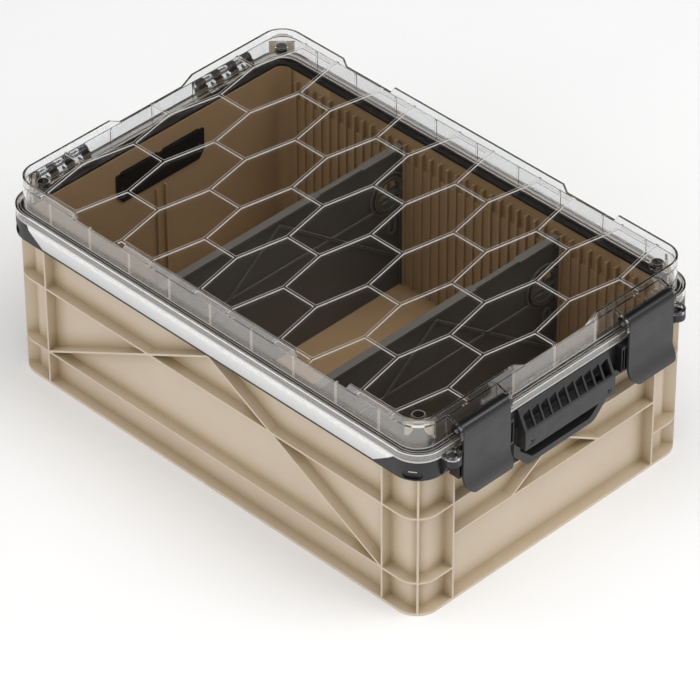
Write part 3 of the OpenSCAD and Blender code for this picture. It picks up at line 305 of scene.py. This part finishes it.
def clear(name, colour=(0.955, 0.965, 0.97), rough=0.012, through=(0.74, 0.67, 0.58)):
    """Clear moulded plastic: a pale surface mixed in paints highlights on its edges and ribs, its sockets
    are painted dark as shade, and soft light passes to what is below it.
    """
    g = Graph(name)
    bsdf = g.add("ShaderNodeBsdfPrincipled", IOR=1.46)
    bsdf.inputs["Transmission Weight"].default_value = 1.0
    cloud = g.noise(9, 4)
    g.link(g.blend(g.ramp(cloud, 0, 1), shade(colour, 0.985), colour), bsdf.inputs["Base Color"])
    g.link(g.ramp(g.noise(45, 4), rough * 0.5, rough * 2), bsdf.inputs["Roughness"])
    # A pale shader mixed in wherever highlights are painted
    bright = g.add("ShaderNodeBsdfPrincipled", Roughness=0.3)
    bright.inputs["Specular IOR Level"].default_value = 0.6
    pale = g.blend(g.ramp(g.noise(300, 3), 0, 1), (0.73, 0.73, 0.72), (0.8, 0.8, 0.79))
    g.link(pale, bright.inputs["Base Color"])
    x, y, z = (g.place()[k] for k in "XYZ")
    wide, deep = g.maths("ABSOLUTE", x), g.maths("ABSOLUTE", y)
    steep = g.ramp(g.maths("ABSOLUTE", g.facing()), 1, 0, 0.2, 0.5)
    # Painted highlights on the plate's ribs, along their edges and steep sides
    ribs = g.times(g.band(z, *RIB_Z), g.times(g.band(x, -RIB_X, RIB_X), g.band(y, -RIB_Y, RIB_Y)))
    rib_line = g.times(ribs, g.most(g.edges(0.0007, 0.02, 0.2), steep))
    # The flange gets painted highlight lines along its edges over a faint painted sheen
    body = g.band(y, -FLANGE_RUN, FLANGE_RUN)
    flange = g.times(g.band(z, *FLANGE_Z), 0.2)
    for heights in FLANGE_EDGES:
        flange = g.most(flange, g.times(g.band(z, *heights), 0.9))
    rings = 0
    for r in RING_RADII:
        rings = g.most(g.maths("SUBTRACT", g.within(*RING_AT, r + RING_W), g.within(*RING_AT, r)), rings)
    rings = g.times(rings, g.band(z, *RING_Z), 0.6)
    # The outer walls and lips get a painted sheen, weak beside the latches
    by_latch = g.times(g.band(wide, *LATCH_X), g.ramp(deep, 0, 1, *FRONT_Y))
    walls = g.times(g.band(z, *WALL_Z), g.ramp(g.noise(6, 3), 0.13, 0.16))
    walls = g.most(walls, g.times(g.band(z, *LIP_Z), 0.12))
    walls = g.times(walls, g.times(g.band(wide, 0, OUTER_X), g.band(deep, 0, OUTER_Y)))
    walls = g.times(walls, g.times(g.outward(), g.ramp(by_latch, 1, 0.15, 0, 1)))
    sheen = g.times(g.most(g.times(flange, body), walls), steep)
    # Painted highlight lines on the upright ribs of the near walls, those at -x and -y, only
    at_y, at_x = (g.maths("LESS_THAN", g.maths("PINGPONG", v, STAY_STEP), STAY_HALF) for v in (deep, wide))
    along_y = g.times(at_y, g.band(x, *STAY_X))
    along_x = g.times(at_x, g.times(g.band(y, *STAY_Y), g.band(wide, -1, STAY_REACH)))
    stays = g.times(g.most(along_y, along_x), g.band(z, *STAY_Z), 0.6)
    # Painted highlights on the brackets in the corners, and painted shade in their sockets
    dx, dy = g.maths("SUBTRACT", wide, SOCKET_X), g.maths("SUBTRACT", deep, SOCKET_Y)
    near = g.times(*(g.band(v, -BRACKET_REACH, BRACKET_REACH) for v in (dx, dy)))
    bracket = g.times(g.band(g.maths("ADD", dx, dy), *BRACKET_BAND), near, g.band(z, *BRACKET_Z))
    # Painted highlights along the lid's sharp edges, weaker past the flange's end
    edge_highlight = g.times(g.edges(0.0006, 0.05, 0.4), g.ramp(body, 0.25, 0.75, 0, 1))
    # All painted highlights together
    face = g.most(g.most(rib_line, edge_highlight), g.most(sheen, rings), stays, g.times(bracket, 0.8))
    # Painted shade: a dark shader fills the sockets' bores
    spread = g.maths("ADD", g.times(dx, dx), g.times(dy, dy))
    socket_shade_mask = g.times(g.maths("LESS_THAN", spread, SOCKET_R ** 2), g.band(z, *SOCKET_Z))
    dark = g.add("ShaderNodeBsdfPrincipled", Roughness=0.25, Base_Color=(0.012, 0.011, 0.01, 1))
    lit = g.add("ShaderNodeMixShader")
    g.link(face, lit.inputs[0])
    g.link(bsdf.outputs[0], lit.inputs[1])
    g.link(bright.outputs[0], lit.inputs[2])
    shaded_socket_mix = g.add("ShaderNodeMixShader")
    g.link(g.times(socket_shade_mask, 0.9), shaded_socket_mix.inputs[0])
    g.link(lit.outputs[0], shaded_socket_mix.inputs[1])
    g.link(dark.outputs[0], shaded_socket_mix.inputs[2])
    veil = g.add("ShaderNodeBsdfTransparent", Color=(*through, 1))
    path = g.add("ShaderNodeLightPath")
    either = g.most(path.outputs["Is Shadow Ray"], path.outputs["Is Diffuse Ray"])
    mix = g.add("ShaderNodeMixShader")
    g.link(either, mix.inputs[0])
    g.link(shaded_socket_mix.outputs[0], mix.inputs[1])
    g.link(veil.outputs[0], mix.inputs[2])
    g.link(mix.outputs[0], g.out.inputs["Surface"])
    return g.material


# The edge colours are painted highlights, the corner and inside colours painted shade, and the dividers'
# top colour painted light
tub_mat = moulded("tub_plastic", (0.585, 0.492, 0.38), rough=0.5, vary=0.03, grain=0.2,
                  line=(0.78, 0.7, 0.58), corner_shade=(0.4, 0.3, 0.17), inside=(0.46, 0.355, 0.245))
frame_mat = moulded("frame_plastic", (0.012, 0.012, 0.013), rough=0.38, vary=0.2, grain=0.25, edge=0.0005,
                    corner_shade=(0.001, 0.001, 0.001), reach=0.012)
latch_mat = moulded("latch_plastic", (0.03, 0.03, 0.031), rough=0.42, vary=0.12, grain=0.3, edge=0.0007,
                    gloss=(0.2225, 0.24, (0.008, 0.008, 0.008)))
handle_mat = moulded("handle_plastic", (0.024, 0.024, 0.025), rough=0.42, vary=0.15, grain=0.3, edge=0.0006,
                     line=(0.09, 0.09, 0.092), corner_shade=(0.001, 0.001, 0.001), reach=0.018)
liner_mat = moulded("liner_plastic", (0.003, 0.003, 0.003), rough=0.5, vary=0.15, grain=0.25, specular=0.2)
divider_mat = moulded("divider_plastic", (0.084, 0.096, 0.106), rough=0.45, vary=0.12, grain=0.25,
                      line=(0.4, 0.41, 0.43), highlight_radius=0.0018, corner_shade=(0.012, 0.012, 0.012), reach=0.012,
                      painted_top_light=(0.189, (0.19, 0.205, 0.23)))
gasket_mat = moulded("gasket_rubber", (0.008, 0.008, 0.008), rough=0.6, vary=0.2, grain=0.3, edge=0)
screw_mat = brushed("screw_black", (0.1, 0.1, 0.105), rough=0.35)
pin_mat = brushed("pin_steel", (0.62, 0.63, 0.64), rough=0.25, stretch=(2, 60, 60))
rail_mat = brushed("rail_metal", (0.91, 0.915, 0.92), rough=0.3, strip=RAIL_Z)
lid_mat = clear("lid_clear")

FINISH = {
    "crate_tub": tub_mat, "rim_frame": frame_mat, "side_rail_left": rail_mat, "side_rail_right": rail_mat,
    "lid_gasket": gasket_mat, "lid_shell": lid_mat, "latch_left": latch_mat, "latch_right": latch_mat,
    "latch_pin_left": pin_mat, "latch_pin_right": pin_mat,
    "hinge_pin_left": pin_mat, "hinge_pin_right": pin_mat,
    "handle_front": handle_mat, "handle_rear": handle_mat, "handle_liner_front": liner_mat,
    "handle_liner_rear": liner_mat, "handle_screws_front": screw_mat, "handle_screws_rear": screw_mat,
    "divider_front": divider_mat, "divider_rear": divider_mat,
}
for name, material in FINISH.items():
    mesh = nodes[name].data
    mesh.materials.clear()
    mesh.materials.append(material)


def stage():
    g = Graph("studio_floor")
    bsdf = g.add("ShaderNodeBsdfPrincipled", Roughness=0.9)
    pale = g.blend(g.ramp(g.noise(3, 3), 0, 1), (0.87, 0.87, 0.87), (0.89, 0.89, 0.89))
    g.link(pale, bsdf.inputs["Base Color"])
    bsdf.inputs["Emission Color"].default_value = (1, 1, 1, 1)
    bsdf.inputs["Emission Strength"].default_value = 0.05
    g.link(bsdf.outputs[0], g.out.inputs["Surface"])
    mesh = bpy.data.meshes.new("floor")
    half = 6
    corners = [(-half, -half, 0), (half, -half, 0), (half, half, 0), (-half, half, 0)]
    mesh.from_pydata(corners, [], [(0, 1, 2, 3)])
    mesh.materials.append(g.material)
    floor = bpy.data.objects.new("floor", mesh)
    floor.location.z = -0.0002
    bpy.context.scene.collection.objects.link(floor)
    world = bpy.data.worlds.new("studio")
    world.use_nodes = True
    tree = world.node_tree
    # A dark flag stands behind the crate, where the lid's top would otherwise mirror the bright studio
    dot = tree.nodes.new("ShaderNodeVectorMath")
    dot.operation = "DOT_PRODUCT"
    dot.inputs[1].default_value = FLAG_AXIS
    tree.links.new(tree.nodes.new("ShaderNodeTexCoord").outputs["Generated"], dot.inputs[0])
    ramp = tree.nodes.new("ShaderNodeMapRange")
    for key, value in zip(("From Min", "From Max", "To Min", "To Max"), FLAG_RAMP):
        ramp.inputs[key].default_value = value
    tree.links.new(dot.outputs["Value"], ramp.inputs["Value"])
    tree.links.new(ramp.outputs["Result"], tree.nodes["Background"].inputs["Strength"])
    tree.nodes["Background"].inputs["Color"].default_value = (1, 1, 1, 1)
    bpy.context.scene.world = world


make_camera()
stage()
area_light("key_light", (0.8, -1.6, 2.6), (1.8, 1.8), 34)
area_light("side_light", (-2.4, -0.2, 1.6), (1.6, 1.2), 12)
area_light("top_light", (0, 0.3, 2.8), (2.2, 2.2), 16)
bpy.context.scene.view_settings.view_transform = "Standard"
